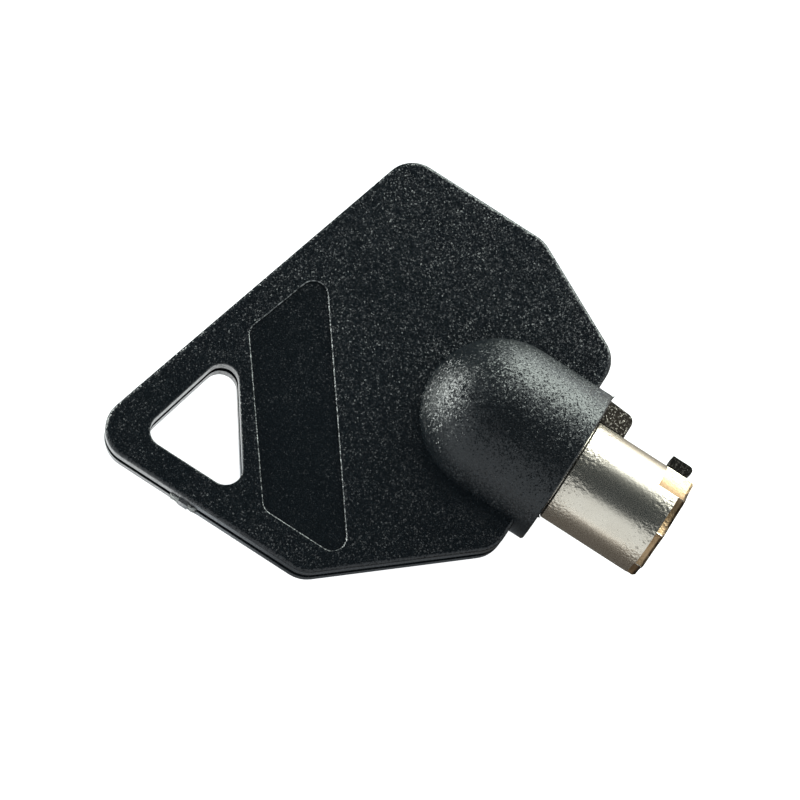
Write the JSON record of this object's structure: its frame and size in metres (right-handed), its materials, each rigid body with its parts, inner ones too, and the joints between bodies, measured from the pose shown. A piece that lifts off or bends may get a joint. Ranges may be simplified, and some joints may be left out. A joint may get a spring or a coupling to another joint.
{
  "type": "tubular key",
  "caption": "Tubular key for a key-operated selector switch: flat black plastic bow with a key-ring hole, round boss, and a plated tube barrel with cuts and a drive nib.",
  "frame": {"origin": "centre of the barrel's mouth, on the barrel's axis", "axes": "+X along the barrel out of its mouth, +Y across the flat bow to its upper edge, +Z out of the bow's front face"},
  "size_m": [0.0447, 0.0365, 0.0144],
  "materials": {
    "bow_plastic": "black, fine spark-eroded texture, smooth in the recessed panel",
    "barrel_plate": "satin nickel plate on brass, bare brass in the milled cuts",
    "plated_steel": "dull plated steel stampings"
  },
  "bodies": {
    "root": {"front_shell": "bow_plastic", "rear_shell": "bow_plastic", "core_plate": "plated_steel", "key_barrel": "barrel_plate", "drive_nib": "plated_steel", "cross_pin": "plated_steel"}
  },
  "joints": []
}
